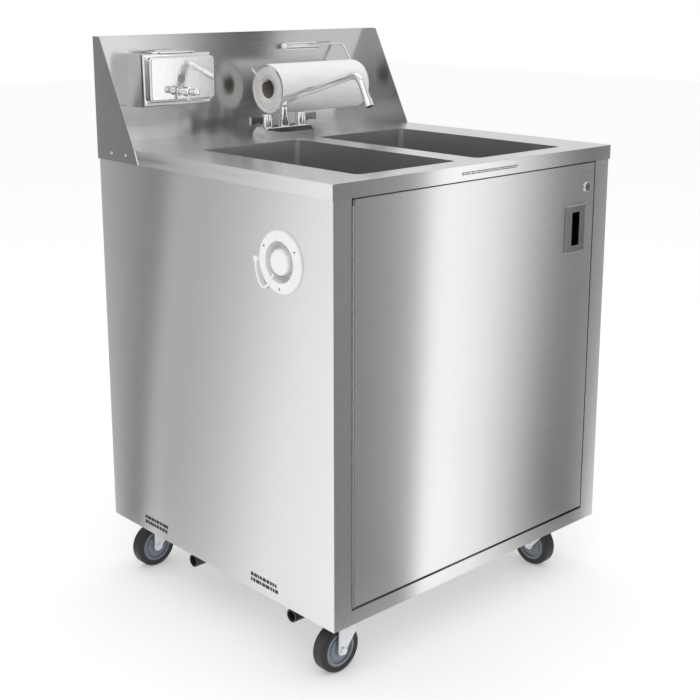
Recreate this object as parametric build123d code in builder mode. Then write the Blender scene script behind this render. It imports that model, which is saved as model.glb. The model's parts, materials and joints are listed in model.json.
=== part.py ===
from build123d import *
import os
from math import cos, radians, sin

# Portable handwash sink: folded stainless cabinet on four swivel casters, two deep basins,
# deck faucet, soap dispenser, towel holder, water tanks, pump and heater.
# Origin: cabinet centre on the floor. +X right, +Y back, +Z up. Millimetres.

os.makedirs("parts", exist_ok=True)

# ---------------------------------------------------------------- driving dimensions
counter_width = 830.0
counter_depth = 780.0
counter_top = 1006.0
apron_height = 31.0
cabinet_bottom = 126.0
splash_top = 1242.0
sheet = 1.5
panel_inset = 2.0
rail_height = 30.0
left_stile_edge = -366.5
right_stile_edge = 365.0
jamb_depth = 22.0

basin_width = 272.0
basin_length = 494.0
basin_depth = 254.0
basin_gap = 64.0
basin_middle_y = -90.0
basin_corner = 14.0

door_left = -358.5
door_right = 362.0
door_bottom = 161.5
door_top = 972.0
door_depth = 25.0
hinge_x = -362.5
knuckle_radius = 3.0
knuckle_pitch = 25.0
knuckle_gap = 0.5

faucet_y = 243.0
handle_spacing = 102.0
faucet_height = 23.0
spout_radius = 8.5

roll_radius = 60.0
roll_length = 279.0
roll_left = 9.0
roll_y = 312.0
roll_z = 1109.0
core_radius = 21.0
wire_radius = 3.0

inlet_y = -242.0
inlet_z = 840.0
inlet_radius = 62.0

soap_x = -238.0
soap_valve_x = -243.0
soap_valve_z = 1119.0

wheel_radius = 50.0
wheel_width = 32.0
caster_trail = 35.0
caster_pivot_x = 319.0
front_pivot_y = -327.0
rear_pivot_y = 322.0

front_drain_y = -256.0
rear_drain_y = 80.0
drain_z = 110.0
drain_x = -300.0

run = 0.05  # radial running clearance

# ---------------------------------------------------------------- derived places
half_width = counter_width / 2
half_depth = counter_depth / 2
apron_bottom = counter_top - apron_height
side_x = half_width - panel_inset
front_y = -half_depth + panel_inset
back_y = half_depth - panel_inset
side_top = counter_top - 2 * panel_inset
basin_x = (basin_width + basin_gap) / 2
splash_face = half_depth - sheet


def save(piece, label):
    piece.part.label = label
    export_step(piece.part, f"parts/{label}.step")


def block(x_range, y_range, z_range, mode=Mode.ADD):
    """A box between two corners, in the open part."""
    size = [high - low for low, high in (x_range, y_range, z_range)]
    middle = [(high + low) / 2 for low, high in (x_range, y_range, z_range)]
    with Locations(tuple(middle)):
        return Box(*size, mode=mode)


def rod(start, direction, radius, length, mode=Mode.ADD):
    """A round bar that starts at a point and runs along a direction."""
    with BuildSketch(Plane(origin=start, z_dir=direction)) as section:
        Circle(radius)
    return extrude(section.sketch, amount=length, mode=mode)


# ---------------------------------------------------------------- cabinet
def side_panel(side, stile_edge):
    """Side sheet folded round the front corner into the stile, then into the door jamb."""
    with BuildPart() as panel:
        skin = sorted((side * side_x, side * (side_x - sheet)))
        block(skin, (front_y, back_y), (cabinet_bottom, side_top))
        stile = sorted((side * side_x, stile_edge))
        block(stile, (front_y, front_y + sheet), (cabinet_bottom, side_top))
        jamb = sorted((stile_edge, stile_edge + side * sheet))
        block(jamb, (front_y, front_y + jamb_depth), (cabinet_bottom + rail_height, apron_bottom))
        back_flange = sorted((side * side_x, side * (side_x - 25)))
        block(back_flange, (back_y - sheet, back_y), (cabinet_bottom, side_top))
        corner = (side * side_x, front_y, counter_top / 2)
        fillet(panel.edges().filter_by(Axis.Z).sort_by_distance(corner)[0], 1.4)
        if side < 0:
            with BuildSketch(Plane.YZ.offset(-side_x)):
                with Locations((inlet_y, inlet_z)):
                    Circle(46)
            extrude(amount=sheet, mode=Mode.SUBTRACT)
    return panel


left_side_panel = side_panel(-1, left_stile_edge)
save(left_side_panel, "left_side_panel")

right_side_panel = side_panel(1, right_stile_edge)
save(right_side_panel, "right_side_panel")

with BuildPart() as back_panel:
    back_inner = back_y - 2 * sheet
    back_span = side_x - sheet - 0.5
    block((-back_span, back_span), (back_inner, back_inner + sheet), (cabinet_bottom + 3, side_top))
    with BuildSketch(Plane.XZ.offset(-back_inner)):
        for vent_z in (260, 860):
            with Locations((0, vent_z)):
                with GridLocations(130, 16, 4, 5):
                    SlotOverall(100, 6)
    extrude(amount=-sheet, mode=Mode.SUBTRACT)
save(back_panel, "back_panel")

with BuildPart() as floor_pan:
    floor_x = side_x - sheet - 0.2
    floor_back = back_inner - 0.2
    floor_front = front_y + sheet + 0.1
    floor_top = cabinet_bottom + 2
    block((-floor_x, floor_x), (floor_front, floor_back), (cabinet_bottom, floor_top))
    # the front edge is folded up flush with the stiles and makes the rail under the door
    rail = (left_stile_edge + 0.3, right_stile_edge - 0.3)
    block(rail, (front_y, floor_front + sheet), (cabinet_bottom, floor_top))
    block(rail, (front_y, front_y + sheet), (cabinet_bottom, cabinet_bottom + rail_height))
    block(rail, (front_y, front_y + 20), (cabinet_bottom + rail_height - sheet, cabinet_bottom + rail_height))
    for side in (-1, 1):
        lip = sorted((side * floor_x, side * (floor_x - sheet)))
        block(lip, (floor_front, floor_back), (cabinet_bottom, cabinet_bottom + 25))
    block((-floor_x, floor_x), (floor_back - sheet, floor_back), (cabinet_bottom, cabinet_bottom + 25))
    with BuildSketch(Plane.XY.offset(cabinet_bottom)):
        with Locations((drain_x, front_drain_y), (drain_x, rear_drain_y)):
            Circle(17)
    extrude(amount=2, mode=Mode.SUBTRACT)
save(floor_pan, "floor_pan")

with BuildPart() as header_rail:
    header_y = front_y + door_depth + 2
    header_x = side_x - sheet - 0.5
    block((-header_x, header_x), (header_y, header_y + sheet), (940, side_top - 2))
    block((-header_x, header_x), (header_y, header_y + 14), (940, 940 + sheet))
save(header_rail, "header_rail")

# ---------------------------------------------------------------- worktop and splashes
with BuildPart() as countertop:
    block((-half_width, half_width), (-half_depth, half_depth), (apron_bottom, counter_top))
    fillet(countertop.faces().sort_by(Axis.Z)[-1].edges().sort_by(Axis.Y)[:3], 1.4)
    inner_x = half_width - sheet
    block((-inner_x, inner_x), (-half_depth + sheet, half_depth), (apron_bottom, counter_top - sheet),
          mode=Mode.SUBTRACT)
    with BuildSketch(Plane.XY.offset(counter_top - sheet)):
        with Locations((-basin_x, basin_middle_y), (basin_x, basin_middle_y)):
            RectangleRounded(basin_width, basin_length, basin_corner)
        with Locations((-handle_spacing / 2, faucet_y), (handle_spacing / 2, faucet_y)):
            Circle(12)
    extrude(amount=sheet, mode=Mode.SUBTRACT)
save(countertop, "countertop")


def basin(middle_x):
    """Deep-drawn bowl with a flange that sits under the worktop."""
    rim_z = counter_top - sheet
    bottom_z = counter_top - basin_depth
    with BuildPart() as bowl:
        with BuildSketch(Plane.XY.offset(bottom_z)):
            with Locations((middle_x, basin_middle_y)):
                RectangleRounded(basin_width + 2 * sheet, basin_length + 2 * sheet, basin_corner + sheet)
        extrude(amount=rim_z - bottom_z)
        fillet(bowl.faces().sort_by(Axis.Z)[0].edges(), 12)
        with BuildSketch(Plane.XY.offset(rim_z - sheet)):
            with Locations((middle_x, basin_middle_y)):
                RectangleRounded(basin_width + 26, basin_length + 26, basin_corner + 8)
        extrude(amount=sheet)
        with BuildPart(mode=Mode.PRIVATE) as hollow:
            with BuildSketch(Plane.XY.offset(bottom_z + sheet)):
                with Locations((middle_x, basin_middle_y)):
                    RectangleRounded(basin_width, basin_length, basin_corner)
            extrude(amount=rim_z - bottom_z)
            fillet(hollow.faces().sort_by(Axis.Z)[0].edges(), 10.5)
        add(hollow.part, mode=Mode.SUBTRACT)
        with BuildSketch(Plane.XY.offset(bottom_z - 1)):
            with Locations((middle_x, basin_middle_y)):
                Circle(22)
        extrude(amount=sheet + 2, mode=Mode.SUBTRACT)
    return bowl


save(basin(-basin_x), "left_basin")
save(basin(basin_x), "right_basin")

with BuildPart() as backsplash:
    block((-half_width, half_width), (splash_face, half_depth), (counter_top, splash_top))
    block((-half_width, half_width), (half_depth - 9, half_depth), (splash_top - sheet, splash_top))
    for side in (-1, 1):
        flange = sorted((side * half_width, side * (half_width - sheet)))
        block(flange, (half_depth - 25, half_depth), (counter_top, splash_top))
save(backsplash, "backsplash")

rivet_places = ((333, 992), (277, 992))


def side_splash(side):
    """Trapezoid end plate that laps over the worktop's band."""
    with BuildPart() as plate:
        with BuildSketch(Plane.YZ.offset(side * half_width)):
            with BuildLine():
                Polyline((half_depth, apron_bottom), (half_depth, splash_top), (half_depth - 25, splash_top),
                         (244, counter_top), (232, apron_bottom), close=True)
            make_face()
            with Locations(*rivet_places):
                Circle(2.05, mode=Mode.SUBTRACT)
        extrude(amount=side * sheet)
    return plate


save(side_splash(-1), "left_side_splash")
save(side_splash(1), "right_side_splash")

# ---------------------------------------------------------------- door
with BuildPart() as door_skin:
    block((door_left, door_right), (front_y, front_y + door_depth - sheet), (door_bottom, door_top))
    block((door_left + sheet, door_right - sheet), (front_y + sheet, front_y + door_depth),
          (door_bottom + sheet, door_top - sheet), mode=Mode.SUBTRACT)
    with BuildSketch(Plane.XZ.offset(-front_y)):
        with Locations((296.5, 832)):
            Rectangle(54, 92)
        with Locations((336, 920)):
            Circle(8.2)
    extrude(amount=-sheet, mode=Mode.SUBTRACT)
save(door_skin, "door_skin")

with BuildPart() as door_liner:
    liner_y = front_y + door_depth - sheet
    block((door_left + 0.5, door_right - 0.5), (liner_y, liner_y + sheet), (door_bottom + 0.5, door_top - 0.5))
    with BuildSketch(Plane.XZ.offset(-liner_y)):
        with Locations((336, 920)):
            Circle(8.2)
    extrude(amount=-sheet, mode=Mode.SUBTRACT)
save(door_liner, "door_liner")

with BuildPart() as door_pull:
    pull_x, pull_z = 296.5, 832.0
    with BuildSketch(Plane.XZ.offset(-front_y)):
        with Locations((pull_x, pull_z)):
            RectangleRounded(67, 105, 2)
    extrude(amount=4)
    chamfer(door_pull.faces().sort_by(Axis.Y)[0].edges(), 1.6)
    block((pull_x - 26, pull_x + 26), (front_y, front_y + 19), (pull_z - 45, pull_z + 45))
    # finger recess, wider behind the plate than at its mouth
    block((pull_x - 24, pull_x + 24), (front_y + 1, front_y + 17.5), (pull_z - 43, pull_z + 43),
          mode=Mode.SUBTRACT)
    block((pull_x - 13, pull_x + 13), (front_y - 5, front_y + 2), (pull_z - 37, pull_z + 37),
          mode=Mode.SUBTRACT)
save(door_pull, "door_pull")

knuckle_count = int((door_top - door_bottom) // knuckle_pitch)


def hinge_leaf(side, first):
    """One leaf of the continuous hinge; side is -1 for the frame leaf and 1 for the door leaf."""
    with BuildPart() as leaf:
        plate = sorted((hinge_x + side * 3, hinge_x + side * 4))
        block(plate, (front_y + 2, front_y + jamb_depth - 1), (door_bottom, door_top))
        heights = [door_bottom + knuckle_pitch * (index + 0.5) for index in range(first, knuckle_count, 2)]
        with Locations(*[(hinge_x, front_y, height) for height in heights]):
            Cylinder(knuckle_radius, knuckle_pitch - knuckle_gap)
        tab = side * 2
        with Locations(*[(hinge_x + tab, front_y + 1.6, height) for height in heights]):
            Box(4, 2.8, knuckle_pitch - knuckle_gap)
        with BuildSketch(Plane.XY.offset(door_bottom)):
            with Locations((hinge_x, front_y)):
                Circle(1.25)
        extrude(amount=door_top - door_bottom, mode=Mode.SUBTRACT)
    return leaf


save(hinge_leaf(-1, 0), "hinge_frame_leaf")
save(hinge_leaf(1, 1), "hinge_door_leaf")

with BuildPart() as hinge_pin:
    rod((hinge_x, front_y, door_bottom + 1), (0, 0, 1), 1.2, door_top - door_bottom - 2)
save(hinge_pin, "hinge_pin")

lock_x, lock_z = 336.0, 920.0
with BuildPart() as lock_barrel:
    rod((lock_x, front_y - 3, lock_z), (0, 1, 0), 11, 3)
    fillet(lock_barrel.faces().sort_by(Axis.Y)[0].edges(), 1.2)
    rod((lock_x, front_y, lock_z), (0, 1, 0), 8, door_depth + 1)
    rod((lock_x, front_y - 4, lock_z), (0, 1, 0), 5.5 + run, door_depth + 6, mode=Mode.SUBTRACT)
save(lock_barrel, "lock_barrel")

with BuildPart() as lock_cam:
    rod((lock_x, front_y - 3.4, lock_z), (0, 1, 0), 5.5, door_depth + 4.7)
    block((lock_x - 0.7, lock_x + 0.7), (front_y - 4, front_y - 1), (lock_z - 3.5, lock_z + 3.5),
          mode=Mode.SUBTRACT)
    # tongue, hanging down while unlocked
    block((lock_x - 7, lock_x + 7), (front_y + door_depth + 1.3, front_y + door_depth + 3.8),
          (lock_z - 36, lock_z + 7))
save(lock_cam, "lock_cam")

# ---------------------------------------------------------------- faucet
with BuildPart() as faucet_body:
    with BuildSketch(Plane.XZ.offset(-faucet_y - 21.5)):
        with BuildLine():
            Polyline((-76, counter_top), (76, counter_top), (76, counter_top + 9), (64, counter_top + faucet_height),
                     (-64, counter_top + faucet_height), (-76, counter_top + 9), close=True)
        make_face()
    extrude(amount=43)
    fillet(faucet_body.faces().sort_by(Axis.Z)[-1].edges(), 2.5)
    body_top = counter_top + faucet_height
    for side in (-1, 1):
        handle_x = side * handle_spacing / 2
        rod((handle_x, faucet_y, counter_top - 46), (0, 0, 1), 10, 46)
        rod((handle_x, faucet_y, body_top - 1), (0, 0, 1), 12, 3)
        rod((handle_x, faucet_y, body_top), (0, 0, 1), 6, 18)
    rod((0, faucet_y, body_top - 1), (0, 0, 1), 13, 12)
    rod((0, faucet_y, counter_top + 10), (0, 0, 1), spout_radius + run, 30, mode=Mode.SUBTRACT)
save(faucet_body, "faucet_body")


def faucet_handle(side):
    """Fluted conical hub with a wing lever pointing outwards."""
    handle_x = side * handle_spacing / 2
    hub_bottom = counter_top + faucet_height + 2.3
    with BuildPart() as handle:
        with BuildSketch(Plane.XY.offset(hub_bottom)):
            with Locations((handle_x, faucet_y)):
                Circle(14)
        with BuildSketch(Plane.XY.offset(hub_bottom + 26)):
            with Locations((handle_x, faucet_y)):
                Circle(11)
        loft()
        fillet(handle.faces().sort_by(Axis.Z)[-1].edges(), 2)
        with Locations((handle_x, faucet_y, hub_bottom + 13)):
            with PolarLocations(15.4, 10, start_angle=18):
                Cylinder(3.2, 30, mode=Mode.SUBTRACT)
        with BuildSketch(Plane.XZ.offset(-faucet_y - 3.5)):
            with BuildLine():
                Polyline((handle_x, hub_bottom + 20), (handle_x + side * 50, hub_bottom + 23),
                         (handle_x + side * 50, hub_bottom + 5), (handle_x + side * 26, hub_bottom + 8),
                         (handle_x + side * 18, hub_bottom + 4), (handle_x, hub_bottom + 2), close=True)
            make_face()
        extrude(amount=7)
        outer = handle.faces().filter_by(Axis.X).sort_by_distance((handle_x + side * 50, faucet_y, hub_bottom))[0]
        fillet(outer.edges().filter_by(Axis.Z), 2)
        rod((handle_x, faucet_y, hub_bottom - 1), (0, 0, 1), 6 + run, 18.5, mode=Mode.SUBTRACT)
    return handle


save(faucet_handle(-1), "left_faucet_handle")
save(faucet_handle(1), "right_faucet_handle")

spout_tip = Vector(0, -46, 1100)
spout_route = ((0, faucet_y, counter_top + 12), (0, faucet_y, 1088), (0, -14, 1163), tuple(spout_tip))
tip_direction = (spout_tip - Vector(0, -14, 1163)).normalized()

with BuildPart() as faucet_spout:
    with BuildLine() as spout_line:
        FilletPolyline(*spout_route, radius=[20, 30])
    with BuildSketch(Plane(origin=spout_route[0], z_dir=(0, 0, 1))):
        Circle(spout_radius)
        Circle(spout_radius - 1.7, mode=Mode.SUBTRACT)
    sweep(path=spout_line.wires()[0])
    # nut above the body that holds the spout down
    with BuildSketch(Plane.XY.offset(counter_top + faucet_height + 11.3)):
        with Locations((0, faucet_y)):
            Circle(11.5)
            Circle(spout_radius - 0.5, mode=Mode.SUBTRACT)
    extrude(amount=9)
save(faucet_spout, "faucet_spout")

with BuildPart() as aerator:
    aerator_start = spout_tip - tip_direction * 10
    rod(tuple(aerator_start), tuple(tip_direction), 10.2, 18)
    fillet(aerator.edges().filter_by(GeomType.CIRCLE), 1)
    rod(tuple(spout_tip - tip_direction * 12), tuple(tip_direction), spout_radius + run, 13, mode=Mode.SUBTRACT)
    rod(tuple(spout_tip), tuple(tip_direction), 7, 12, mode=Mode.SUBTRACT)
save(aerator, "aerator")

# ---------------------------------------------------------------- soap dispenser
soap_front = 325.0
soap_cover_front = 307.0
with BuildPart() as soap_tank:
    with BuildSketch(Plane.XY.offset(1085)):
        with Locations((soap_x, (splash_face + soap_front) / 2)):
            Rectangle(186, splash_face - soap_front)
    extrude(amount=117)
    fillet(soap_tank.faces().sort_by(Axis.Y)[0].edges(), 11)
    with BuildSketch(Plane.XZ.offset(-soap_front - 2)):
        with Locations((soap_x, 1146)):
            RectangleRounded(177, 98, 9)
    extrude(amount=soap_front + 2 - soap_cover_front)
    fillet(soap_tank.faces().sort_by(Axis.Y)[0].edges(), 5)
    block((soap_x - 88, soap_x + 88), (soap_front + 4, splash_face - 3), (1090, 1197), mode=Mode.SUBTRACT)
    with BuildSketch(Plane.XY.offset(1190)):
        with Locations((soap_x, 352)):
            SlotOverall(104, 26)
    extrude(amount=20, mode=Mode.SUBTRACT)
    with BuildSketch(Plane.XZ.offset(-soap_cover_front)):
        with Locations((soap_valve_x, 1147)):
            Circle(10.1)
    extrude(amount=-3, mode=Mode.SUBTRACT)
save(soap_tank, "soap_tank")

with BuildPart() as soap_lid:
    with BuildSketch(Plane.XY.offset(1202.2)):
        with Locations((soap_x, 352)):
            SlotOverall(122, 40)
    extrude(amount=3.5)
    fillet(soap_lid.faces().sort_by(Axis.Z)[-1].edges(), 1.5)
    rod((soap_x - 30, 375, 1205), (1, 0, 0), 2.5, 60)
    block((soap_x - 30, soap_x + 30), (370, 375), (1202.5, 1205.5))
save(soap_lid, "soap_lid")

with BuildPart() as soap_sight_glass:
    rod((soap_valve_x, soap_cover_front + 3, 1147), (0, -1, 0), 10, 4.5)
    fillet(soap_sight_glass.faces().sort_by(Axis.Y)[0].edges(), 1.2)
save(soap_sight_glass, "soap_sight_glass")

with BuildPart() as soap_valve_body:
    rod((soap_valve_x, soap_cover_front, soap_valve_z), (0, -1, 0), 12, 3)
    rod((soap_valve_x, soap_cover_front - 3, soap_valve_z), (0, -1, 0), 7, 12)
    with Locations((soap_valve_x, soap_cover_front - 24, soap_valve_z)):
        Cylinder(11, 22, rotation=(90, 0, 0))
    fillet(soap_valve_body.faces().sort_by(Axis.Y)[0].edges(), 5)
    rod((soap_valve_x, soap_cover_front - 24, soap_valve_z), (0, 0, -1), 4.5, 19)
    rod((soap_valve_x, soap_cover_front - 24, soap_valve_z - 10), (0, 0, -1), 2.5, 10, mode=Mode.SUBTRACT)
    rod((soap_valve_x, soap_cover_front - 36, soap_valve_z), (0, 1, 0), 4 + run, 30, mode=Mode.SUBTRACT)
save(soap_valve_body, "soap_valve_body")

with BuildPart() as soap_push_button:
    rod((soap_valve_x, 263.2, soap_valve_z), (0, -1, 0), 8, 17)
    fillet(soap_push_button.faces().sort_by(Axis.Y)[0].edges(), 4)
    rod((soap_valve_x, 263.2, soap_valve_z), (0, 1, 0), 4, 26)
save(soap_push_button, "soap_push_button")

# ---------------------------------------------------------------- towel holder
wire_z = roll_z + core_radius - wire_radius - 0.4
bracket_y = 376.0
bracket_z = 1203.0
wire_turn_x = 302.0
wire_route = ((130, bracket_y, bracket_z), (wire_turn_x, bracket_y - 8, bracket_z + 4),
              (wire_turn_x, roll_y, wire_z), (roll_left - 16, roll_y, wire_z),
              (roll_left - 46, roll_y + 4, wire_z + 34))

with BuildPart() as towel_bracket:
    block((120, 228), (bracket_y + 9, splash_face), (bracket_z - 9, bracket_z + 9))
    block((120, 228), (bracket_y, bracket_y + 10), (bracket_z - 5, bracket_z + 5))
    rod((120, bracket_y, bracket_z), (1, 0, 0), 6, 108)
    rod((129, bracket_y, bracket_z), Vector(*wire_route[1]) - Vector(*wire_route[0]), wire_radius + 3 * run, 110,
        mode=Mode.SUBTRACT)
save(towel_bracket, "towel_bracket")

with BuildPart() as towel_wire:
    with BuildLine() as wire_line:
        FilletPolyline(*wire_route, radius=[14, 14, 14])
    with BuildSketch(Plane(origin=wire_route[0], z_dir=wire_line.wires()[0] % 0)):
        Circle(wire_radius)
    sweep(path=wire_line.wires()[0])
save(towel_wire, "towel_wire")

with BuildPart() as towel_roll:
    with BuildSketch(Plane.YZ.offset(roll_left)):
        with Locations((roll_y, roll_z)):
            Circle(roll_radius)
            Circle(core_radius, mode=Mode.SUBTRACT)
    extrude(amount=roll_length)
save(towel_roll, "towel_roll")

# ---------------------------------------------------------------- water inlet
with BuildPart() as inlet_flange:
    rod((-side_x, inlet_y, inlet_z), (-1, 0, 0), inlet_radius, 6)
    fillet(inlet_flange.faces().sort_by(Axis.X)[0].edges(), 4)
    rod((-side_x, inlet_y, inlet_z), (1, 0, 0), 45, 26)
    rod((-side_x - 6, inlet_y, inlet_z), (1, 0, 0), 41, 29, mode=Mode.SUBTRACT)
    rod((-side_x + 23, inlet_y, inlet_z), (-1, 0, 0), 19, 16)
    rod((-side_x + 23, inlet_y, inlet_z), (1, 0, 0), 16, 30)
    rod((-side_x + 4, inlet_y, inlet_z), (1, 0, 0), 13, 60, mode=Mode.SUBTRACT)
    with BuildSketch(Plane.YZ.offset(-side_x - 7)):
        with Locations((inlet_y, inlet_z)):
            with PolarLocations(52, 3, start_angle=30):
                Circle(2.6)
    extrude(amount=10, mode=Mode.SUBTRACT)
save(inlet_flange, "inlet_flange")

with BuildPart() as inlet_cap:
    rod((-side_x + 20, inlet_y, inlet_z), (-1, 0, 0), 26, 29)
    fillet(inlet_cap.faces().sort_by(Axis.X)[0].edges(), 7)
    with BuildSketch(Plane.YZ.offset(-side_x - 6)):
        with Locations((inlet_y, inlet_z)):
            with PolarLocations(27.5, 16):
                Circle(2.2)
    extrude(amount=30, mode=Mode.SUBTRACT)
    rod((-side_x + 21, inlet_y, inlet_z), (-1, 0, 0), 19 + run, 15.5, mode=Mode.SUBTRACT)
save(inlet_cap, "inlet_cap")

strap_x = -side_x - 8.4
with BuildPart() as inlet_strap:
    # anchor button behind the flange's rear edge, and the limp strap that loops down from it
    rod((-side_x - 0.2, inlet_y + 68.5, inlet_z - 3), (-1, 0, 0), 6, 9)
    with BuildSketch(Plane.YZ.offset(strap_x)):
        with BuildLine():
            Spline((inlet_y + 67, inlet_z - 5), (inlet_y + 66, inlet_z - 30), (inlet_y + 47, inlet_z - 56),
                   (inlet_y + 30, inlet_z - 46), (inlet_y + 16, inlet_z - 25))
        trace(line_width=4)
    extrude(amount=2.3)
save(inlet_strap, "inlet_strap")

# ---------------------------------------------------------------- casters
plate_thickness = 3.0
bolt_spacing_x = 74.0
bolt_spacing_y = 48.0
pivots = {
    "front_left": (-caster_pivot_x, front_pivot_y, 180),
    "front_right": (caster_pivot_x, front_pivot_y, 90),
    "rear_left": (-caster_pivot_x, rear_pivot_y, 180),
    "rear_right": (caster_pivot_x, rear_pivot_y, 20),
}
pivot_points = [(x, y) for x, y, heading in pivots.values()]

with BuildPart() as caster_plates:
    with BuildSketch(Plane.XY.offset(cabinet_bottom - plate_thickness)):
        with Locations(*pivot_points):
            RectangleRounded(92, 66, 6)
    extrude(amount=plate_thickness)
    with BuildSketch(Plane.XY.offset(cabinet_bottom - 6.5)):
        with Locations(*pivot_points):
            Circle(24)
    extrude(amount=4)
    with BuildSketch(Plane.XY.offset(cabinet_bottom - 10)):
        with Locations(*pivot_points):
            Circle(5 + run)
            with GridLocations(bolt_spacing_x, bolt_spacing_y, 2, 2):
                Circle(4.2)
    extrude(amount=12, mode=Mode.SUBTRACT)
save(caster_plates, "caster_plates")

with BuildPart() as fasteners:
    # caster bolts, head under the plate
    with Locations(*[(x, y, cabinet_bottom - plate_thickness) for x, y in pivot_points]):
        with GridLocations(bolt_spacing_x, bolt_spacing_y, 2, 2):
            Cylinder(4, plate_thickness - 0.1, align=(Align.CENTER, Align.CENTER, Align.MIN))
            Cylinder(6.5, 4, align=(Align.CENTER, Align.CENTER, Align.MAX))
    # splash rivets
    for side in (-1, 1):
        for rivet_y, rivet_z in rivet_places:
            rod((side * (half_width + 0.1), rivet_y, rivet_z), (side, 0, 0), 2, 2)
            rod((side * (half_width + sheet), rivet_y, rivet_z), (side, 0, 0), 3.2, 1)
    # inlet screws
    for angle in (30, 150, 270):
        screw_y = inlet_y + 52 * cos(radians(angle))
        screw_z = inlet_z + 52 * sin(radians(angle))
        rod((-side_x - 0.4, screw_y, screw_z), (-1, 0, 0), 2.5, 5.2)
save(fasteners, "fasteners")

fork_inner = 19.0
fork_outer = 21.5
fork_top = 113.0
axle_radius = 5.0


def swivel_frame(name):
    """Frame at the floor under a caster's pivot; local x trails from the pivot to the axle."""
    x, y, heading = pivots[name]
    ahead = (cos(radians(heading)), sin(radians(heading)), 0)
    return Plane(origin=(x, y, 0), x_dir=ahead, z_dir=(0, 0, 1))


def caster_fork(name):
    """Zinc fork with its lower race, king pin and axle bolt."""
    frame = swivel_frame(name)
    side_view = Plane(origin=frame.origin, x_dir=frame.x_dir, z_dir=-frame.y_dir)
    with BuildPart(frame) as fork:
        with BuildSketch(side_view.offset(-fork_outer)):
            with BuildLine():
                Polyline((-28, fork_top), (44, fork_top), (45.5, 50), (24.5, 50), close=True)
            make_face()
            with Locations((caster_trail, 50)):
                Circle(10.5)
        extrude(amount=2 * fork_outer)
        with Locations((20, 0, 74)):
            Box(110, 2 * fork_inner, 72, mode=Mode.SUBTRACT)
        with Locations((0, 0, fork_top)):
            Cylinder(23, 6.2, align=(Align.CENTER, Align.CENTER, Align.MIN))
            Cylinder(5, 12.5, align=(Align.CENTER, Align.CENTER, Align.MIN))
        with Locations((caster_trail, 0, 50)):
            Cylinder(axle_radius + run, 3 * fork_outer, rotation=(90, 0, 0), mode=Mode.SUBTRACT)
            Cylinder(axle_radius, 2 * fork_outer + 0.2, rotation=(90, 0, 0))
        for end in (-1, 1):
            with Locations((caster_trail, end * (fork_outer + 2.6), 50)):
                Cylinder(7, 5, rotation=(90, 0, 0))
    return fork


def caster_wheel(name):
    """Moulded hub with a raised ring, turning on the axle bolt."""
    with BuildPart(swivel_frame(name)) as wheel:
        with Locations((caster_trail, 0, 50)):
            Cylinder(37, 29, rotation=(90, 0, 0))
            for end in (-1, 1):
                with Locations((0, end * 14.5, 0)):
                    Cylinder(31, 7, rotation=(90, 0, 0), mode=Mode.SUBTRACT)
            Cylinder(24, 27, rotation=(90, 0, 0))
            Cylinder(12, 2 * fork_inner - 0.6, rotation=(90, 0, 0))
            Cylinder(axle_radius + run, 60, rotation=(90, 0, 0), mode=Mode.SUBTRACT)
    return wheel


def caster_tyre(name):
    """Solid rubber tread with rounded shoulders."""
    with BuildPart(swivel_frame(name)) as tyre:
        with Locations((caster_trail, 0, 50)):
            Cylinder(wheel_radius, wheel_width, rotation=(90, 0, 0))
        fillet(tyre.edges().filter_by(GeomType.CIRCLE), 6)
        with Locations((caster_trail, 0, 50)):
            Cylinder(37, 60, rotation=(90, 0, 0), mode=Mode.SUBTRACT)
    return tyre


for caster_name in pivots:
    save(caster_fork(caster_name), f"{caster_name}_fork")
    save(caster_wheel(caster_name), f"{caster_name}_wheel")
    save(caster_tyre(caster_name), f"{caster_name}_tyre")

# ---------------------------------------------------------------- tanks, pump, heater
tank_bottom = floor_top + 0.2
tank_top = 500.0


def water_tank(y_range, neck, drain, spare_port):
    """Moulded tank with a filling neck, a small port on top and a drain hole below."""
    with BuildPart() as tank:
        block((-395, 85), y_range, (tank_bottom, tank_top))
        fillet(tank.edges(), 22)
        rod((neck[0], neck[1], tank_top - 1), (0, 0, 1), 26, 14)
        with BuildPart(mode=Mode.PRIVATE) as space:
            block((-390, 80), (y_range[0] + 5, y_range[1] - 5), (tank_bottom + 5, tank_top - 5))
            fillet(space.edges(), 17)
        add(space.part, mode=Mode.SUBTRACT)
        rod((neck[0], neck[1], tank_top - 10), (0, 0, 1), 21, 30, mode=Mode.SUBTRACT)
        rod((drain[0], drain[1], tank_bottom - 1), (0, 0, 1), 11, 10, mode=Mode.SUBTRACT)
        rod((spare_port[0], spare_port[1], tank_top - 10), (0, 0, 1), 8, 20, mode=Mode.SUBTRACT)
    return tank


save(water_tank((-345, -15), (-340 + 2, inlet_y), (drain_x, front_drain_y), (40, -180)), "fresh_water_tank")
save(water_tank((15, 345), (-100, 180), (drain_x, rear_drain_y), (40, 300)), "waste_water_tank")

with BuildPart() as water_pump:
    block((118, 286), (-292, -208), (floor_top, floor_top + 5))
    block((118, 176), (-285, -215), (floor_top + 4, 205))
    fillet(water_pump.edges().filter_by(Axis.Z).group_by(Axis.Z)[-1], 8)
    rod((175, -250, 170), (1, 0, 0), 31, 104)
    fillet(water_pump.edges().filter_by(GeomType.CIRCLE).sort_by(Axis.X)[-1], 5)
    block((190, 270), (-265, -235), (floor_top + 4, 145))
    rod((134, -268, 204), (0, 0, 1), 7, 14)
    rod((160, -232, 204), (0, 0, 1), 7, 14)
    rod((147, -216, 175), (0, 1, 0), 7, 14)
save(water_pump, "water_pump")

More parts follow.
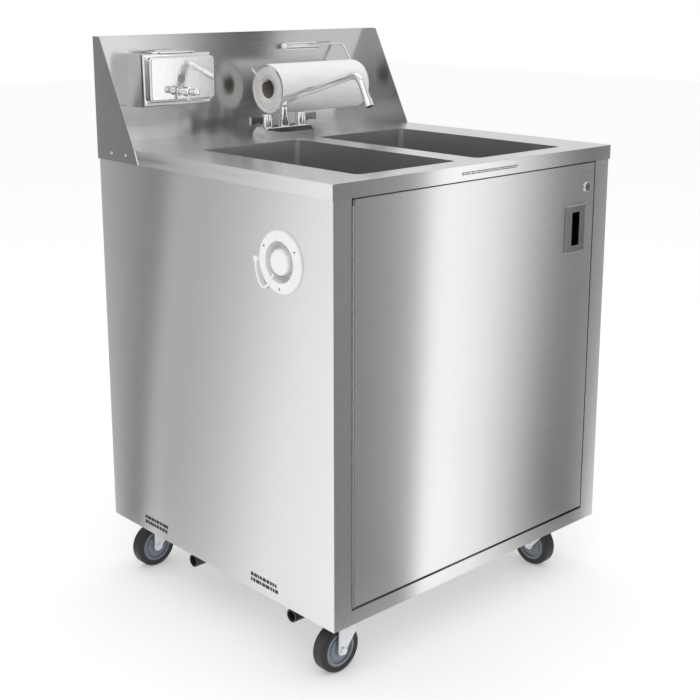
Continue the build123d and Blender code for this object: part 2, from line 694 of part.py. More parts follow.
with BuildPart() as water_heater:
    block((120, 385), (15, 330), (floor_top + 12, 480))
    fillet(water_heater.edges().filter_by(Axis.Z), 40)
    fillet(water_heater.faces().sort_by(Axis.Z)[-1].edges(), 10)
    with BuildPart(mode=Mode.PRIVATE) as heater_space:
        block((122, 383), (17, 328), (floor_top + 14, 478))
        fillet(heater_space.edges().filter_by(Axis.Z), 38)
        fillet(heater_space.faces().sort_by(Axis.Z)[-1].edges(), 8)
    add(heater_space.part, mode=Mode.SUBTRACT)
    with Locations(*[(x, y, floor_top) for x in (165, 340) for y in (60, 285)]):
        Cylinder(14, 13, align=(Align.CENTER, Align.CENTER, Align.MIN))
    rod((300, 100, 479), (0, 0, 1), 7, 14)
    rod((250, 16, 200), (0, -1, 0), 7, 14)
    rod((300, 100, 470), (0, 0, 1), 5, 24, mode=Mode.SUBTRACT)
    rod((250, 24, 200), (0, -1, 0), 5, 24, mode=Mode.SUBTRACT)
save(water_heater, "water_heater")

# ---------------------------------------------------------------- pipes and hoses
basin_bottom = counter_top - basin_depth
with BuildPart() as basin_drains:
    for side in (-1, 1):
        middle = (side * basin_x, basin_middle_y)
        rod((*middle, basin_bottom + sheet + 0.1), (0, 0, 1), 30, 2.5)
        rod((*middle, basin_bottom - 92), (0, 0, 1), 19, 94)
        rod((*middle, basin_bottom - 8), (0, 0, 1), 30, 7.8)
        rod((*middle, basin_bottom - 93), (0, 0, 1), 17, 94, mode=Mode.SUBTRACT)
        with BuildSketch(Plane.XY.offset(basin_bottom)):
            with Locations(middle):
                for ring, count in ((7, 6), (15, 12), (23, 18)):
                    with PolarLocations(ring, count):
                        Circle(1.9)
        extrude(amount=6, mode=Mode.SUBTRACT)
save(basin_drains, "basin_drains")

waste_z = 640.0
with BuildPart() as waste_pipe:
    for radius, mode in ((22, Mode.ADD), (19 + run, Mode.SUBTRACT)):
        for side in (-1, 1):
            rod((side * basin_x, basin_middle_y, waste_z), (0, 0, 1), radius, 28, mode=mode)
        rod((-basin_x - radius + 4, basin_middle_y, waste_z), (1, 0, 0), radius - 4,
            2 * (basin_x + radius - 4), mode=mode)
        with BuildLine() as waste_line:
            FilletPolyline((-100, basin_middle_y, waste_z), (-100, 180, waste_z), (-100, 180, tank_top - 4),
                           radius=50)
        with BuildSketch(Plane(origin=(-100, basin_middle_y, waste_z), z_dir=(0, 1, 0))):
            Circle(radius - 4)
        sweep(path=waste_line.wires()[0], mode=mode)
save(waste_pipe, "waste_pipe")

hose_routes = {
    "suction": (((40, -180, 492), (40, -180, 570), (134, -268, 570), (134, -268, 219)), 40, 7.5),
    "cold": (((160, -232, 219), (160, -232, 545), (51, faucet_y, 545), (51, faucet_y, 959)), 60, 7.5),
    "heater_feed": (((147, -201, 175), (147, -110, 175), (250, -80, 200), (250, 1, 200)), 40, 7.5),
    "hot": (((300, 100, 494), (300, 100, 600), (-51, faucet_y, 600), (-51, faucet_y, 959)), 60, 7.5),
    "fill": (((-side_x + 54, inlet_y, inlet_z), (-338, inlet_y, inlet_z), (-338, inlet_y, 492)), 20, 16),
}
with BuildPart() as water_hoses:
    for route, bend, radius in hose_routes.values():
        with BuildLine() as hose_line:
            FilletPolyline(*route, radius=bend)
        path = hose_line.wires()[0]
        with BuildSketch(Plane(origin=route[0], z_dir=path % 0)):
            Circle(radius)
            Circle(radius - 2.5, mode=Mode.SUBTRACT)
        sweep(path=path)
save(water_hoses, "water_hoses")

with BuildPart() as drain_pipes:
    for drain_y in (front_drain_y, rear_drain_y):
        for radius, mode in ((14, Mode.ADD), (11, Mode.SUBTRACT)):
            with BuildLine() as drain_line:
                FilletPolyline((drain_x, drain_y, floor_top + 0.2), (drain_x, drain_y, drain_z),
                               (-410, drain_y, drain_z), radius=16)
            with BuildSketch(Plane(origin=(drain_x, drain_y, floor_top + 0.2), z_dir=(0, 0, -1))):
                Circle(radius)
            sweep(path=drain_line.wires()[0], mode=mode)
            if mode == Mode.ADD:
                rod((-372, drain_y, drain_z), (1, 0, 0), 15.6, 42)
                rod((-351, drain_y, drain_z), (0, 1, 0), 5, 18)
save(drain_pipes, "drain_pipes")


def drain_handle(drain_y):
    """Butterfly handle on the ball valve's stem, hanging down while the valve is shut."""
    with BuildPart() as handle:
        rod((-351, drain_y + 18.3, drain_z), (0, 1, 0), 8, 7)
        block((-355, -347), (drain_y + 18.3, drain_y + 23.3), (drain_z - 28, drain_z))
        fillet(handle.edges().filter_by(Axis.Y).group_by(Axis.Z)[0], 2)
    return handle


save(drain_handle(front_drain_y), "front_drain_handle")
save(drain_handle(rear_drain_y), "rear_drain_handle")

with BuildPart() as power_inlet:
    block((270, 330), (back_inner - 26, back_inner - 0.2), (560, 610))
    fillet(power_inlet.edges().filter_by(Axis.Y), 4)
save(power_inlet, "power_inlet")
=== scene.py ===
import json
import math
import random

import bmesh
import bpy
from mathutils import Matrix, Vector


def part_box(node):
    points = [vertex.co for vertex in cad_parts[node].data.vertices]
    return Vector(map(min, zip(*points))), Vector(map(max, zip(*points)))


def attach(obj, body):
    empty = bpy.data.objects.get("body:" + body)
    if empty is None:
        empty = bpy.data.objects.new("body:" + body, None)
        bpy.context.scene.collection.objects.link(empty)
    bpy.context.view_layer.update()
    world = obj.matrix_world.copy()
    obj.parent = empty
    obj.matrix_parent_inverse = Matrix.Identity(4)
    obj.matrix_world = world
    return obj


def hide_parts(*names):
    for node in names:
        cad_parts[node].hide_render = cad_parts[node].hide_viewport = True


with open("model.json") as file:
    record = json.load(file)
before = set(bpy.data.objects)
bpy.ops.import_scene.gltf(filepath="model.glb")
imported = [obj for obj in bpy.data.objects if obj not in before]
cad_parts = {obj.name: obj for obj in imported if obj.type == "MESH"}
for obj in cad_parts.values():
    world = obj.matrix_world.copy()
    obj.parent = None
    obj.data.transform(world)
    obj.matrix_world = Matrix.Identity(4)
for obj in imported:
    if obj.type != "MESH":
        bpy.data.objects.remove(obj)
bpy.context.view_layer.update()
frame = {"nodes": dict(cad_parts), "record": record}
nodes = frame["nodes"]


# ---------------------------------------------------------------- node helpers
def new_material(name):
    """A material with its node tree and Principled shader."""
    material = bpy.data.materials.new(name)
    material.use_nodes = True
    tree = material.node_tree
    return material, tree, tree.nodes["Principled BSDF"]


def add_node(tree, kind, **settings):
    node = tree.nodes.new(kind)
    for key, value in settings.items():
        setattr(node, key, value)
    return node


def coordinates(tree, scale):
    """Object coordinates in metres, stretched by scale."""
    source = add_node(tree, "ShaderNodeTexCoord")
    mapping = add_node(tree, "ShaderNodeMapping")
    mapping.inputs["Scale"].default_value = scale
    tree.links.new(source.outputs["Object"], mapping.inputs["Vector"])
    return mapping.outputs["Vector"]


def noise(tree, scale, detail=4.0, roughness=0.6, size=1.0):
    node = add_node(tree, "ShaderNodeTexNoise")
    node.inputs["Scale"].default_value = size
    node.inputs["Detail"].default_value = detail
    node.inputs["Roughness"].default_value = roughness
    tree.links.new(coordinates(tree, scale), node.inputs["Vector"])
    return node.outputs["Fac"]


def remap(tree, source, low, high, start=0.3, end=0.7):
    node = add_node(tree, "ShaderNodeMapRange")
    node.inputs["From Min"].default_value = start
    node.inputs["From Max"].default_value = end
    node.inputs["To Min"].default_value = low
    node.inputs["To Max"].default_value = high
    tree.links.new(source, node.inputs["Value"])
    return node.outputs["Result"]


def ramp(tree, source, stops):
    """Colour ramp through (position, grey or colour) stops."""
    node = add_node(tree, "ShaderNodeValToRGB")
    elements = node.color_ramp.elements
    while len(elements) < len(stops):
        elements.new(0.5)
    for element, (position, colour) in zip(elements, stops):
        element.position = position
        if isinstance(colour, (int, float)):
            colour = (colour, colour, colour)
        element.color = (*colour, 1.0)
    tree.links.new(source, node.inputs["Fac"])
    return node.outputs["Color"]


def total(tree, first, second):
    node = add_node(tree, "ShaderNodeMath", operation="ADD")
    tree.links.new(first, node.inputs[0])
    tree.links.new(second, node.inputs[1])
    return node.outputs["Value"]


def bump(tree, shader, height, strength, distance):
    node = add_node(tree, "ShaderNodeBump")
    node.inputs["Strength"].default_value = strength
    node.inputs["Distance"].default_value = distance
    tree.links.new(height, node.inputs["Height"])
    tree.links.new(node.outputs["Normal"], shader.inputs["Normal"])
    return node


def shade(value, tint):
    return tuple(value * channel for channel in tint)


# ---------------------------------------------------------------- materials
STEEL_TINT = (1.0, 0.995, 0.985)


def brushed_steel(name, value, roughness, grain, axis="Z", turn=0.25, anisotropy=0.7, relief=0.14):
    """Stainless sheet with fine brushed lines; grain is the stretch of the lines along X, Y and Z."""
    material, tree, shader = new_material(name)
    lines = noise(tree, grain, detail=8.0, roughness=0.75)
    handling = noise(tree, (5.0, 5.0, 4.0), detail=5.0, roughness=0.55)
    dark, light = shade(value * 0.94, STEEL_TINT), shade(value * 1.03, STEEL_TINT)
    tree.links.new(ramp(tree, lines, ((0.32, dark), (0.68, light))), shader.inputs["Base Color"])
    spread = remap(tree, lines, roughness - 0.04, roughness + 0.04)
    smudge = remap(tree, handling, -0.008, 0.012)
    tree.links.new(total(tree, spread, smudge), shader.inputs["Roughness"])
    bump(tree, shader, lines, relief, 0.00012)
    tangent = add_node(tree, "ShaderNodeTangent", direction_type="RADIAL", axis=axis)
    tree.links.new(tangent.outputs["Tangent"], shader.inputs["Tangent"])
    shader.inputs["Metallic"].default_value = 1.0
    shader.inputs["Anisotropic"].default_value = anisotropy
    shader.inputs["Anisotropic Rotation"].default_value = turn
    return material


def polished_metal(name, value, roughness, tint=(1.0, 1.0, 1.0), waviness=0.02):
    """Plated or polished metal with faint waviness, dust and water marks."""
    material, tree, shader = new_material(name)
    clouds = noise(tree, (60.0, 60.0, 60.0), detail=3.0)
    marks = noise(tree, (420.0, 420.0, 420.0), detail=6.0, roughness=0.7)
    dark, light = shade(value * 0.95, tint), shade(value, tint)
    tree.links.new(ramp(tree, clouds, ((0.3, dark), (0.7, light))), shader.inputs["Base Color"])
    tree.links.new(remap(tree, marks, roughness, roughness + 0.05, 0.45, 0.8), shader.inputs["Roughness"])
    bump(tree, shader, clouds, waviness, 0.002)
    shader.inputs["Metallic"].default_value = 1.0
    return material


def zinc_plate(name):
    """Bright zinc with the faint spangle and scuffs of plated pressings."""
    material, tree, shader = new_material(name)
    cells = add_node(tree, "ShaderNodeTexVoronoi")
    cells.inputs["Scale"].default_value = 130.0
    tree.links.new(coordinates(tree, (1.0, 1.0, 1.0)), cells.inputs["Vector"])
    scuffs = noise(tree, (160.0, 160.0, 30.0), detail=7.0)
    colour = ramp(tree, cells.outputs["Distance"], ((0.0, (0.83, 0.84, 0.86)), (1.0, (0.9, 0.9, 0.91))))
    tree.links.new(colour, shader.inputs["Base Color"])
    tree.links.new(remap(tree, scuffs, 0.24, 0.42), shader.inputs["Roughness"])
    bump(tree, shader, scuffs, 0.12, 0.0004)
    shader.inputs["Metallic"].default_value = 0.85
    return material


def moulded(name, colour, roughness, grain_size=900.0, relief=0.1, variation=0.06, sheen=0.0):
    """Moulded plastic or rubber with a fine texture and slight mottling."""
    material, tree, shader = new_material(name)
    texture = noise(tree, (grain_size,) * 3, detail=3.0)
    clouds = noise(tree, (18.0, 18.0, 18.0), detail=5.0)
    dark, light = shade(1 - variation, colour), shade(1 + variation * 0.3, colour)
    tree.links.new(ramp(tree, clouds, ((0.3, dark), (0.7, light))), shader.inputs["Base Color"])
    tree.links.new(remap(tree, clouds, roughness - 0.05, roughness + 0.06), shader.inputs["Roughness"])
    bump(tree, shader, texture, relief, 0.0004)
    shader.inputs["Sheen Weight"].default_value = sheen
    return material


def tyre_rubber(name):
    """Dark grey tread with patches of dust."""
    material, tree, shader = new_material(name)
    dust = noise(tree, (45.0, 45.0, 45.0), detail=8.0, roughness=0.7)
    grit = noise(tree, (1500.0, 1500.0, 1500.0), detail=2.0)
    colour = ramp(tree, dust, ((0.35, (0.012, 0.012, 0.013)), (0.62, (0.022, 0.022, 0.023)),
                               (0.85, (0.06, 0.058, 0.055))))
    tree.links.new(colour, shader.inputs["Base Color"])
    tree.links.new(remap(tree, dust, 0.4, 0.62), shader.inputs["Roughness"])
    bump(tree, shader, grit, 0.12, 0.0003)
    return material


def towel_paper(name):
    """Embossed towel paper: a quilt of small pillows over soft fibres."""
    material, tree, shader = new_material(name)
    fibres = noise(tree, (900.0, 900.0, 900.0), detail=6.0, roughness=0.8)
    clouds = noise(tree, (25.0, 60.0, 60.0), detail=4.0)
    tree.links.new(ramp(tree, clouds, ((0.3, (0.84, 0.84, 0.83)), (0.7, (0.9, 0.9, 0.89)))),
                   shader.inputs["Base Color"])
    quilt = add_node(tree, "ShaderNodeTexVoronoi", feature="SMOOTH_F1")
    quilt.inputs["Scale"].default_value = 230.0
    tree.links.new(coordinates(tree, (1.0, 1.0, 1.0)), quilt.inputs["Vector"])
    height = total(tree, quilt.outputs["Distance"], remap(tree, fibres, 0.0, 0.35))
    bump(tree, shader, height, 0.5, 0.0009)
    tree.links.new(remap(tree, fibres, 0.85, 1.0), shader.inputs["Roughness"])
    shader.inputs["Sheen Weight"].default_value = 0.25
    shader.inputs["Specular IOR Level"].default_value = 0.2
    return material


def layered_paper(name, centre_y, centre_z):
    """Roll end: the wound edges of the sheets show as fine rings."""
    material, tree, shader = new_material(name)
    source = add_node(tree, "ShaderNodeTexCoord")
    shift = add_node(tree, "ShaderNodeVectorMath", operation="SUBTRACT")
    shift.inputs[1].default_value = (0.0, centre_y, centre_z)
    flat = add_node(tree, "ShaderNodeVectorMath", operation="MULTIPLY")
    flat.inputs[1].default_value = (0.0, 1.0, 1.0)
    radius = add_node(tree, "ShaderNodeVectorMath", operation="LENGTH")
    rings = add_node(tree, "ShaderNodeMath", operation="MULTIPLY")
    rings.inputs[1].default_value = 900.0
    wobble = noise(tree, (70.0, 70.0, 70.0), detail=4.0)
    waves = add_node(tree, "ShaderNodeMath", operation="SINE")
    tree.links.new(source.outputs["Object"], shift.inputs[0])
    tree.links.new(shift.outputs["Vector"], flat.inputs[0])
    tree.links.new(flat.outputs["Vector"], radius.inputs[0])
    tree.links.new(radius.outputs["Value"], rings.inputs[0])
    tree.links.new(total(tree, rings.outputs["Value"], remap(tree, wobble, 0.0, 9.0)), waves.inputs[0])
    tree.links.new(ramp(tree, remap(tree, waves.outputs["Value"], 0.0, 1.0, -1.0, 1.0),
                        ((0.0, (0.84, 0.84, 0.83)), (0.6, (0.93, 0.93, 0.92)))), shader.inputs["Base Color"])
    bump(tree, shader, waves.outputs["Value"], 0.3, 0.0008)
    shader.inputs["Roughness"].default_value = 0.95
    return material


def cardboard(name):
    material, tree, shader = new_material(name)
    fibres = noise(tree, (60.0, 700.0, 700.0), detail=7.0, roughness=0.75)
    tree.links.new(ramp(tree, fibres, ((0.3, (0.14, 0.12, 0.1)), (0.7, (0.22, 0.19, 0.165)))),
                   shader.inputs["Base Color"])
    bump(tree, shader, fibres, 0.3, 0.0004)
    shader.inputs["Roughness"].default_value = 0.9
    return material


def dark_glass(name):
    material, tree, shader = new_material(name)
    film = noise(tree, (90.0, 90.0, 90.0), detail=5.0)
    tree.links.new(ramp(tree, film, ((0.3, (0.2, 0.21, 0.215)), (0.7, (0.34, 0.35, 0.355)))),
                   shader.inputs["Base Color"])
    tree.links.new(remap(tree, film, 0.05, 0.16), shader.inputs["Roughness"])
    shader.inputs["Coat Weight"].default_value = 1.0
    shader.inputs["Coat Roughness"].default_value = 0.03
    return material


FINE = 1900.0
LONG = 9.0
panel_steel = brushed_steel("panel_steel", 0.76, 0.3, (LONG, LONG, FINE), anisotropy=0.95)
deck_steel = brushed_steel("deck_steel", 0.76, 0.24, (LONG, FINE, FINE), axis="X", turn=0.0)
splash_steel = brushed_steel("splash_steel", 0.6, 0.17, (LONG, LONG, FINE), anisotropy=0.85)
basin_steel = brushed_steel("basin_steel", 0.72, 0.24, (260.0, 260.0, 900.0), anisotropy=0.4, relief=0.3)
# Painted shade: the hinge steel is made dark so the hinge gap and its knuckles read as a dark line.
hinge_steel_painted_shade = brushed_steel("hinge_steel_painted_shade", 0.3, 0.4, (900.0, 900.0, LONG), anisotropy=0.2)
chrome = polished_metal("chrome", 0.86, 0.04)
mirror_steel = polished_metal("mirror_steel", 0.8, 0.07, STEEL_TINT, waviness=0.05)
bright_zinc = zinc_plate("zinc_plate")
lock_metal = polished_metal("lock_metal", 0.3, 0.25)
white_plastic = moulded("white_plastic", (0.9, 0.9, 0.9), 0.3, relief=0.05)
wheel_plastic = moulded("wheel_plastic", (0.2, 0.23, 0.27), 0.35, relief=0.08)
tread = tyre_rubber("tyre_rubber")
tank_plastic = moulded("tank_plastic", (0.7, 0.72, 0.7), 0.5, relief=0.2)
black_plastic = moulded("black_plastic", (0.02, 0.02, 0.022), 0.4, relief=0.12)
red_plastic = moulded("red_plastic", (0.5, 0.03, 0.025), 0.35)
enamel = moulded("white_enamel", (0.75, 0.75, 0.74), 0.25, grain_size=300.0)
glass = dark_glass("sight_glass")
paper = towel_paper("towel_paper")
card = cardboard("cardboard")
# Near-black: print for the markings, and painted shade for the screw and key slots.
ink_and_slot_shade = moulded("decal_ink_and_slot_shade", (0.012, 0.012, 0.012), 0.55)
grey_ink = moulded("grey_ink", (0.12, 0.12, 0.12), 0.55)

finishes = {
    "brushed_steel": panel_steel, "chrome": chrome, "polished_steel": mirror_steel, "sight_glass": glass,
    "paper": paper, "white_plastic": white_plastic, "zinc": bright_zinc, "wheel_plastic": wheel_plastic,
    "tyre_rubber": tread, "tank_plastic": tank_plastic, "black_plastic": black_plastic,
    "red_plastic": red_plastic, "white_enamel": enamel,
}
def pull_steel_with_painted_pocket_shade(name, depth_axis_start):
    """Satin pull: the folded bezel is bright; the pocket behind it is painted dark as shade, from mid grey to near
    black with depth.
    """
    material, tree, shader = new_material(name)
    source = add_node(tree, "ShaderNodeTexCoord")
    split = add_node(tree, "ShaderNodeSeparateXYZ")
    tree.links.new(source.outputs["Object"], split.inputs["Vector"])
    pocket_shade = remap(tree, split.outputs["Y"], 0.0, 1.0, depth_axis_start + 0.002, depth_axis_start + 0.009)
    # Painted shade: the colour darkens from the bezel into the pocket.
    tree.links.new(ramp(tree, pocket_shade, ((0.0, (0.5, 0.5, 0.495)), (1.0, (0.04, 0.04, 0.042)))),
                   shader.inputs["Base Color"])
    lines = noise(tree, (LONG, LONG, FINE), detail=6.0)
    tree.links.new(remap(tree, lines, 0.16, 0.26), shader.inputs["Roughness"])
    bump(tree, shader, lines, 0.1, 0.0001)
    shader.inputs["Metallic"].default_value = 1.0
    return material


pull_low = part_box("door_pull")[0]
pull_front = (nodes["door_pull"].matrix_world.inverted() @ Vector(pull_low)).y
special = {
    "hinge_door_leaf": hinge_steel_painted_shade, "hinge_frame_leaf": hinge_steel_painted_shade, "hinge_pin": hinge_steel_painted_shade,
    "door_pull": pull_steel_with_painted_pocket_shade("pull_steel_painted_shade", pull_front), "countertop": deck_steel,
    "floor_pan": panel_steel, "backsplash": splash_steel, "left_basin": basin_steel,
    "right_basin": basin_steel, "basin_drains": chrome, "left_side_splash": splash_steel,
    "right_side_splash": splash_steel, "lock_cam": lock_metal,
}
for entry in frame["record"]["subparts"]:
    node = nodes[entry["node"]]
    finish = special.get(entry["node"], finishes[entry["material_slot"]])
    node.data.materials.clear()
    node.data.materials.append(finish)


# ---------------------------------------------------------------- mesh pieces
def mesh_piece(name, build, materials, body, smooth=True):
    """A new piece from a bmesh function, riding on a CAD body."""
    mesh = bpy.data.meshes.new(name)
    form = bmesh.new()
    build(form)
    bmesh.ops.recalc_face_normals(form, faces=form.faces)
    form.to_mesh(mesh)
    form.free()
    for face in mesh.polygons:
        face.use_smooth = smooth
    piece = bpy.data.objects.new(name, mesh)
    bpy.context.scene.collection.objects.link(piece)
    for material in materials:
        mesh.materials.append(material)
    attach(piece, body)
    return piece


def paper_roll():
    """Wound paper with a slightly loose, uneven surface and a card core."""
    low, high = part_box("towel_roll")
    centre = (low + high) / 2
    radius = (high.z - low.z) / 2
    core_outer, core_inner = 0.0228, 0.0214
    length = high.x - low.x
    turns, steps = 96, 40
    rng = random.Random(7)
    phase = [rng.uniform(0, 2 * math.pi) for _ in range(4)]

    def skin_radius(angle, along):
        ripple = 0.0004 * math.sin(3 * angle + phase[0]) + 0.0003 * math.sin(7 * angle + 9 * along + phase[1])
        edge = min(along, length - along)
        rounding = 0.0016 * math.exp(-edge / 0.0022)
        return radius - 0.0012 + ripple - rounding

    def build_paper(form):
        rings = []
        for step in range(steps + 1):
            along = length * (0.5 - 0.5 * math.cos(math.pi * step / steps))
            ring = []
            for turn in range(turns):
                angle = 2 * math.pi * turn / turns
                size = skin_radius(angle, along)
                ring.append(form.verts.new((low.x + along, centre.y + size * math.cos(angle),
                                            centre.z + size * math.sin(angle))))
            rings.append(ring)
        for first, second in zip(rings, rings[1:]):
            for turn in range(turns):
                after = (turn + 1) % turns
                form.faces.new((first[turn], first[after], second[after], second[turn]))
        for end, ring in ((0, rings[0]), (1, rings[-1])):
            outer = ring
            for share in (0.96, 0.7, 0.45, 0.0):
                size = core_outer + share * (radius - 0.0012 - core_outer)
                dish = 0.0006 * (1 - share) * (1 if end == 0 else -1)
                inner = []
                for turn in range(turns):
                    angle = 2 * math.pi * turn / turns
                    inner.append(form.verts.new((ring[0].co.x + dish, centre.y + size * math.cos(angle),
                                                 centre.z + size * math.sin(angle))))
                for turn in range(turns):
                    after = (turn + 1) % turns
                    face = form.faces.new((outer[turn], outer[after], inner[after], inner[turn]))
                    face.material_index = 1
                outer = inner
            if end == 0:
                near_hole = outer
        for turn in range(turns):
            after = (turn + 1) % turns
            form.faces.new((near_hole[turn], near_hole[after], outer[after], outer[turn]))

    def build_core(form):
        inset = 0.0012
        loops = []
        for x, size in ((low.x + inset, core_outer), (high.x - inset, core_outer),
                        (high.x - inset, core_inner), (low.x + inset, core_inner)):
            loops.append([form.verts.new((x, centre.y + size * math.cos(2 * math.pi * turn / turns),
                                          centre.z + size * math.sin(2 * math.pi * turn / turns)))
                          for turn in range(turns)])
        for first, second in zip(loops, loops[1:] + loops[:1]):
            for turn in range(turns):
                after = (turn + 1) % turns
                form.faces.new((first[turn], first[after], second[after], second[turn]))

    ends = layered_paper("paper_edges", centre.y, centre.z)
    sheets = mesh_piece("wound_paper", build_paper, [paper, ends], "paper_roll")
    core = mesh_piece("card_core", build_core, [card], "paper_roll")
    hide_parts("towel_roll")
    return sheets, core


paper_roll()


def box_mesh(form, low, high):
    """An axis-aligned box between two corners."""
    corners = [form.verts.new((x, y, z)) for x in (low[0], high[0]) for y in (low[1], high[1])
               for z in (low[2], high[2])]
    for face in ((0, 1, 3, 2), (4, 6, 7, 5), (0, 4, 5, 1), (2, 3, 7, 6), (0, 2, 6, 4), (1, 5, 7, 3)):
        form.faces.new([corners[index] for index in face])


def dash_rows(name, place, width, height, rows, seed, material=ink_and_slot_shade):
    """A generic marking: rows of short dashes; place(u, v, w) maps the flat label to the object."""
    rng = random.Random(seed)

    def build(form):
        row_height = height / (rows * 1.6)
        for row in range(rows):
            v = height / 2 - (row + 0.5) * height / rows
            u = -width / 2
            while u < width / 2 - 0.004:
                dash = min(rng.uniform(0.004, 0.013), width / 2 - u)
                corners = [place(*corner) for corner in ((u, v - row_height / 2, 0.0),
                                                         (u + dash, v + row_height / 2, 0.00025))]
                low = [min(pair) for pair in zip(*corners)]
                high = [max(pair) for pair in zip(*corners)]
                box_mesh(form, low, high)
                u += dash + rng.uniform(0.0018, 0.003)

    return mesh_piece(name, build, [material], "cabinet", smooth=False)


side_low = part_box("left_side_panel")[0]
top_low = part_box("countertop")[0]
for index, (middle_y, middle_z) in enumerate(((0.215, 0.1535), (-0.175, 0.1535))):
    dash_rows(f"drain_marking_{index + 1}",
              lambda u, v, w, y=middle_y, z=middle_z: (side_low.x - 0.00005 - w, y - u, z + v),
              0.09, 0.024, 2, 11 + index)
dash_rows("apron_marking", lambda u, v, w: (0.012 + u, top_low.y - 0.00005 - w, 0.9895 + v),
          0.17, 0.007, 2, 5, grey_ink)


def end_cap():
    """White plastic cap on the open end of the towel bracket's sleeve."""
    low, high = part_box("towel_bracket")
    centre_y, centre_z = low.y + 0.006, (low.z + high.z) / 2
    profile = ((0.0, 0.0062), (-0.004, 0.0075), (-0.009, 0.0072), (-0.0115, 0.0055), (-0.0125, 0.0))

    def build(form):
        turns = 32
        loops = []
        for offset, size in profile:
            if size == 0.0:
                loops.append([form.verts.new((low.x + offset, centre_y, centre_z))])
                continue
            loops.append([form.verts.new((low.x + offset, centre_y + size * math.cos(2 * math.pi * turn / turns),
                                          centre_z + size * math.sin(2 * math.pi * turn / turns)))
                          for turn in range(turns)])
        for first, second in zip(loops, loops[1:]):
            for turn in range(turns):
                after = (turn + 1) % turns
                if len(second) == 1:
                    form.faces.new((first[turn], first[after], second[0]))
                else:
                    form.faces.new((first[turn], first[after], second[after], second[turn]))
        form.faces.new(loops[0][::-1])

    return mesh_piece("bracket_end_cap", build, [white_plastic], "cabinet")


end_cap()


SCREW_CIRCLE = 0.052


def small_marks():
    """Painted shade: near-black boxes stand for the shaded drive slots of the inlet's screws and the key slot of the
    door lock.
    """
    flange_low, flange_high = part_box("inlet_flange")
    middle = (flange_low + flange_high) / 2
    front = flange_low.x + 0.0004
    reach = SCREW_CIRCLE

    def build_slots(form):
        for angle in (30, 150, 270):
            y = middle.y + reach * math.cos(math.radians(angle))
            z = middle.z + reach * math.sin(math.radians(angle))
            box_mesh(form, (front - 0.0003, y - 0.0026, z - 0.0006), (front + 0.0004, y + 0.0026, z + 0.0006))
            box_mesh(form, (front - 0.0003, y - 0.0006, z - 0.0026), (front + 0.0004, y + 0.0006, z + 0.0026))

    mesh_piece("inlet_screw_slots", build_slots, [ink_and_slot_shade], "cabinet", smooth=False)
    lock_low, lock_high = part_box("lock_barrel")
    plug_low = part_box("lock_cam")[0]
    x, z = (lock_low.x + lock_high.x) / 2, (lock_low.z + lock_high.z) / 2
    mesh_piece("key_slot", lambda form: box_mesh(form, (x - 0.0006, plug_low.y - 0.0002, z - 0.0042),
                                                 (x + 0.0006, plug_low.y + 0.0004, z + 0.0042)),
               [ink_and_slot_shade], "door_lock", smooth=False)


small_marks()


# ---------------------------------------------------------------- studio
def stage_material(name, build):
    material = bpy.data.materials.new(name)
    material.use_nodes = True
    build(material.node_tree)
    return material


def plane(name, corners, material):
    mesh = bpy.data.meshes.new(name)
    mesh.from_pydata(corners, [], [(0, 1, 2, 3)])
    mesh.uv_layers.new(name="UVMap")
    for loop, uv in zip(mesh.uv_layers[0].data, ((0, 0), (1, 0), (1, 1), (0, 1))):
        loop.uv = uv
    mesh.materials.append(material)
    item = bpy.data.objects.new(name, mesh)
    bpy.context.scene.collection.objects.link(item)
    return item


def floor_nodes(tree):
    shader = tree.nodes["Principled BSDF"]
    shader.inputs["Base Color"].default_value = (0.93, 0.93, 0.93, 1.0)
    shader.inputs["Roughness"].default_value = 0.9
    shader.inputs["Specular IOR Level"].default_value = 0.1
    shader.inputs["Emission Color"].default_value = (1.0, 1.0, 1.0, 1.0)
    shader.inputs["Emission Strength"].default_value = 0.22


def light_wall(name, foot, head, stops, strength, tilt=0.0):
    """Leaning card with bright and dark bands, seen only in reflections.

    foot and head are its (start, end) corners.
    """
    def build(tree):
        tree.nodes.clear()
        output = add_node(tree, "ShaderNodeOutputMaterial")
        glow = add_node(tree, "ShaderNodeEmission")
        glow.inputs["Strength"].default_value = strength
        source = add_node(tree, "ShaderNodeTexCoord")
        split = add_node(tree, "ShaderNodeSeparateXYZ")
        lean = add_node(tree, "ShaderNodeMath", operation="MULTIPLY_ADD")
        lean.inputs[1].default_value = tilt
        tree.links.new(source.outputs["UV"], split.inputs["Vector"])
        tree.links.new(split.outputs["Y"], lean.inputs[0])
        tree.links.new(split.outputs["X"], lean.inputs[2])
        tree.links.new(ramp(tree, lean.outputs["Value"], stops), glow.inputs["Color"])
        tree.links.new(glow.outputs["Emission"], output.inputs["Surface"])
    steps = 12
    points, spots = [], []
    for row in range(steps + 1):
        up = row / steps
        left = Vector(foot[0]).lerp(Vector(head[0]), up)
        right = Vector(foot[1]).lerp(Vector(head[1]), up)
        for column in range(steps + 1):
            points.append(left.lerp(right, column / steps))
            spots.append((column / steps, up))
    wide = steps + 1
    faces = [(row * wide + column, row * wide + column + 1, (row + 1) * wide + column + 1, (row + 1) * wide + column)
             for row in range(steps) for column in range(steps)]
    mesh = bpy.data.meshes.new(name)
    mesh.from_pydata(points, [], faces)
    mesh.uv_layers.new(name="UVMap")
    for loop, uv in zip(mesh.loops, mesh.uv_layers[0].data):
        uv.uv = spots[loop.vertex_index]
    mesh.materials.append(stage_material(name, build))
    item = bpy.data.objects.new(name, mesh)
    bpy.context.scene.collection.objects.link(item)
    item.visible_camera = False
    item.visible_diffuse = False
    item.visible_shadow = False
    return item


FLOOR_REACH = 14.0


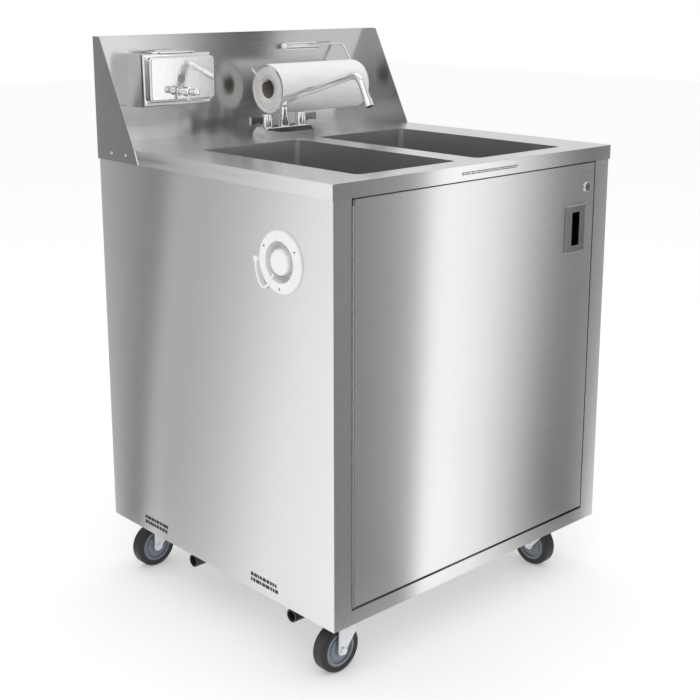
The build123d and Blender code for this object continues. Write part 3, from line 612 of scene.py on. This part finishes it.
def studio():
    world = bpy.data.worlds.new("studio")
    bpy.context.scene.world = world
    world.use_nodes = True
    tree = world.node_tree
    background = tree.nodes["Background"]
    background.inputs["Color"].default_value = (1.0, 1.0, 1.0, 1.0)
    path = add_node(tree, "ShaderNodeLightPath")
    tree.links.new(remap(tree, path.outputs["Is Camera Ray"], 0.8, 1.0, 0.0, 1.0), background.inputs["Strength"])
    reach = FLOOR_REACH
    plane("floor", [(-reach, -reach, 0), (reach, -reach, 0), (reach, reach, 0), (-reach, reach, 0)],
          stage_material("pale_floor", floor_nodes))
    light_wall("front_light", ((-0.42, -0.5, 0.0), (0.52, -0.5, 0.0)), ((0.02, -1.0, 2.2), (1.5, -1.0, 2.2)),
               ((0.0, 0.2), (0.14, 0.25), (0.33, 0.36), (0.37, 1.35), (0.54, 1.2), (0.66, 0.8), (0.78, 0.3),
                (0.88, 0.15), (1.0, 0.12)), 1.0)
    light_wall("side_light", ((-0.52, 0.55, 0.0), (-0.52, -0.4, 0.0)), ((-1.2, 1.9, 2.2), (-1.2, 0.35, 2.2)),
               ((0.0, 0.3), (0.06, 0.2), (0.12, 0.14), (0.16, 0.85), (0.22, 0.48), (0.4, 0.68), (0.6, 1.05),
                (0.85, 1.2), (1.0, 1.0)), 1.0, tilt=-0.55)


def soft_light(name, place, target, size, power):
    data = bpy.data.lights.new(name, "AREA")
    data.shape = "RECTANGLE"
    data.size, data.size_y = size
    data.energy = power
    item = bpy.data.objects.new(name, data)
    bpy.context.scene.collection.objects.link(item)
    item.location = place
    item.rotation_euler = (Vector(target) - Vector(place)).to_track_quat("-Z", "Y").to_euler()
    item.visible_camera = False
    return item


studio()
soft_light("key", (-2.6, -2.4, 3.6), (0.0, 0.0, 0.7), (2.2, 2.2), 22.0)
soft_light("top", (0.4, 0.2, 3.6), (0.0, 0.0, 1.0), (2.0, 1.4), 14.0)


# ---------------------------------------------------------------- camera
CAMERA_PLACE = (-1.8817, -2.0212, 1.3518)
CAMERA_AZIMUTH = 42.77
CAMERA_TILT = 13.03
camera_data = bpy.data.cameras.new("camera")
camera_data.lens = 64.09
camera_data.sensor_width = 36.0
camera_data.shift_y = -0.11
camera = bpy.data.objects.new("camera", camera_data)
bpy.context.scene.collection.objects.link(camera)
camera.location = CAMERA_PLACE
camera.rotation_euler = (math.radians(90 - CAMERA_TILT), 0.0, math.radians(-CAMERA_AZIMUTH))
bpy.context.scene.camera = camera
bpy.context.scene.view_settings.view_transform = "Standard"
